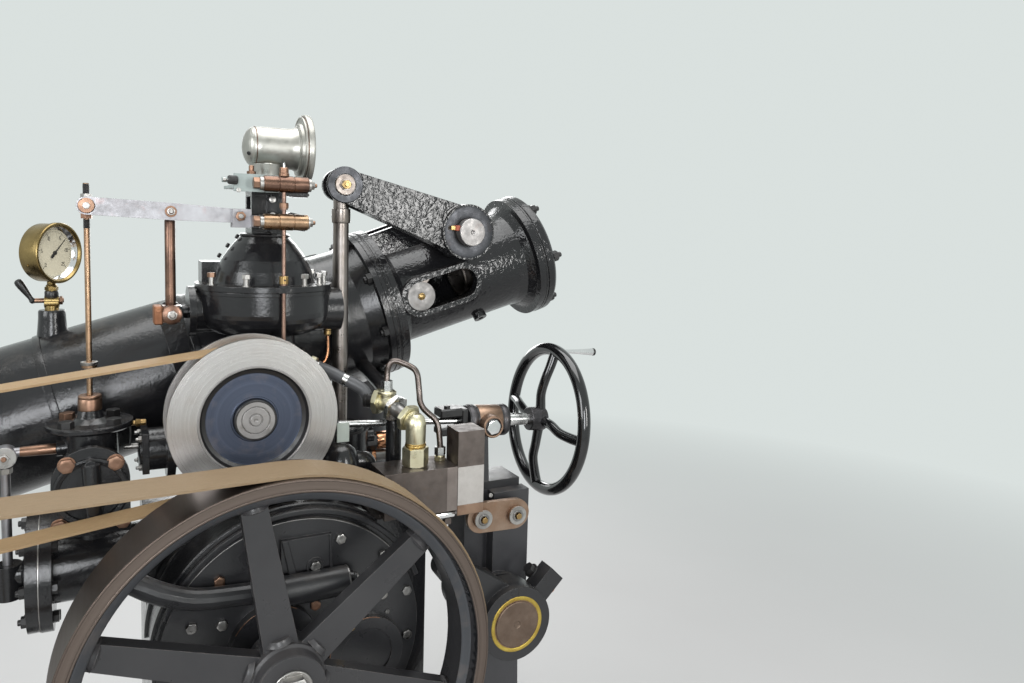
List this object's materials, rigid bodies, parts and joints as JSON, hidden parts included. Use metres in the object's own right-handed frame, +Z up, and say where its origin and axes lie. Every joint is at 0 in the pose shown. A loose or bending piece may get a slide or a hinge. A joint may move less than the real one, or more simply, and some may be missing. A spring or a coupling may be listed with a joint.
{
  "type": "water turbine governor",
  "caption": "Belt-driven mechanical-hydraulic turbine governor: pump housing, fly-ball head with tachometer, pilot valve, rocking lever, handwheel and slanted nozzle pipe.",
  "frame": {"origin": "on the floor, in the underside of the bed, 21 mm to the right of the governor column and 80 mm in front of it", "axes": "+X along the belts from the driving pedestal to the handwheel, +Y from the big belt wheel back to the nozzle pipe, +Z up"},
  "size_m": [1.9989, 0.858, 1.662],
  "materials": {
    "bed_black": "black paint, worn and dusty",
    "gloss_black": "glossy black paint",
    "cover_black": "satin black paint with oil marks",
    "cast_black": "glossy black paint on a grainy casting",
    "wheel_black": "high gloss black enamel",
    "handle_black": "black handle",
    "grey_green": "grey green paint",
    "dark_copper": "dark oiled bronze",
    "bronze": "oiled bronze",
    "nickel": "satin nickel",
    "pale_steel": "bare steel with faint rust stains",
    "shaft_steel": "bright turned steel",
    "disc_steel": "ground steel, bluish",
    "pulley_steel": "turned steel",
    "rim_iron": "bare brown iron with turning marks",
    "wide_leather": "tan belt leather",
    "narrow_leather": "pale tan belt leather",
    "zinc": "yellow zinc plating",
    "block_steel": "brown machined steel",
    "brown_steel": "brown stained steel",
    "plate_steel": "steel with a rust pink film",
    "cock_brass": "aged brass"
  },
  "bodies": {
    "machine": {"bed_frame": "bed_black", "pump_housing": "gloss_black", "pump_cover": "cover_black", "suction_arm": "cover_black", "governor_pedestal": "gloss_black", "governor_bowl": "gloss_black", "governor_dome": "gloss_black", "slotted_column": "gloss_black", "adjuster_bracket": "grey_green", "upper_roller": "dark_copper", "speeder_rod": "bronze", "tachometer_body": "nickel", "tachometer_bezel": "nickel", "fulcrum_link": "dark_copper", "return_arm": "gloss_black", "valve_body": "gloss_black", "valve_cap": "gloss_black", "relay_cylinder": "gloss_black", "relay_link": "pale_steel", "nozzle_pipe": "gloss_black", "pipe_saddle": "bed_black", "nozzle_leg": "bed_black", "yoke": "cast_black", "end_cover": "gloss_black", "servo_cylinder": "gloss_black", "gauge_stub": "gloss_black", "gauge_cock": "cock_brass", "gauge_case": "cock_brass", "wide_belt": "wide_leather", "narrow_belt": "narrow_leather", "drive_pedestal": "bed_black", "valve_block": "block_steel", "guide_bar": "block_steel", "pressure_line": "zinc", "steel_tube": "pale_steel", "hand_bearing": "cover_black", "spindle_bracket": "cover_black", "regulating_stand": "bed_black", "regulating_shaft": "brown_steel", "clamp_lever": "cover_black", "link_plate": "plate_steel"},
    "wheel": {"big_wheel": "rim_iron"},
    "drive_line": {"drive_shaft": "shaft_steel", "drive_drum": "cover_black", "drive_pulley": "cover_black"},
    "pulley": {"governor_pulley": "pulley_steel"},
    "hand_spindle": {"handwheel": "wheel_black"},
    "rocker": {"rocking_lever": "cast_black", "cross_shaft": "shaft_steel"},
    "crosshead_slide": {"crosshead": "disc_steel"},
    "hanging_rod": {"servo_rod": "shaft_steel"},
    "cock_plug": {"cock_handle": "handle_black"},
    "lever": {"floating_lever": "pale_steel"},
    "valve_spindle": {"valve_rod": "bronze"},
    "slider": {"slider_fork": "pale_steel", "lower_roller": "bronze"}
  },
  "joints": [
    {"name": "big_wheel_spin", "type": "hinge", "parent": "machine", "child": "wheel", "pos_m": [-0.055, -0.29, 0.68], "axis": [0, 1, 0], "continuous": true},
    {"name": "drive_shaft_spin", "type": "hinge", "parent": "machine", "child": "drive_line", "pos_m": [-1.078, -0.15, 0.957], "axis": [0, 1, 0], "continuous": true},
    {"name": "governor_pulley_spin", "type": "hinge", "parent": "machine", "child": "pulley", "pos_m": [-0.078, -0.11, 1.087], "axis": [0, 1, 0], "continuous": true},
    {"name": "handwheel_spin", "type": "hinge", "parent": "machine", "child": "hand_spindle", "pos_m": [0.613, 0, 0.994], "axis": [0.9978, 0, -0.0663], "continuous": true},
    {"name": "rocking_lever_swing", "type": "hinge", "parent": "machine", "child": "rocker", "pos_m": [0.444, 0.128, 1.43], "axis": [0, -1, 0], "range_deg": [0, 18]},
    {"name": "crosshead_run", "type": "slide", "parent": "machine", "child": "crosshead_slide", "axis": [0.9583, 0, 0.2857], "range_m": [-0.001, 0.066]},
    {"name": "servo_rod_hang", "type": "hinge", "parent": "rocker", "child": "hanging_rod", "pos_m": [0.15, 0.128, 1.526], "axis": [0, -1, 0], "range_deg": [-19, 1]},
    {"name": "floating_lever_tilt", "type": "hinge", "parent": "machine", "child": "lever", "pos_m": [-0.203, 0.016, 1.457], "axis": [0, -1, 0], "range_deg": [-3, 3]},
    {"name": "valve_rod_slide", "type": "slide", "parent": "machine", "child": "valve_spindle", "axis": [0, 0, 1], "range_m": [-0.0075, 0.0075]},
    {"name": "slider_slide", "type": "slide", "parent": "machine", "child": "slider", "axis": [0, 0, 1], "range_m": [-0.0066, 0.0066]},
    {"name": "cock_turn", "type": "hinge", "parent": "machine", "child": "cock_plug", "pos_m": [-0.409, 0.3, 1.267], "axis": [1, 0, 0], "range_deg": [0, 90]}
  ],
  "couplings": [
    {"joint": "drive_shaft_spin", "follows": "big_wheel_spin", "ratio": 5.9088},
    {"joint": "governor_pulley_spin", "follows": "big_wheel_spin", "ratio": 5.8174},
    {"joint": "crosshead_run", "follows": "rocking_lever_swing", "m_per_rad": 0.2},
    {"joint": "servo_rod_hang", "follows": "rocking_lever_swing", "ratio": -1},
    {"joint": "valve_rod_slide", "follows": "floating_lever_tilt", "m_per_rad": -0.138},
    {"joint": "slider_slide", "follows": "floating_lever_tilt", "m_per_rad": 0.122}
  ]
}
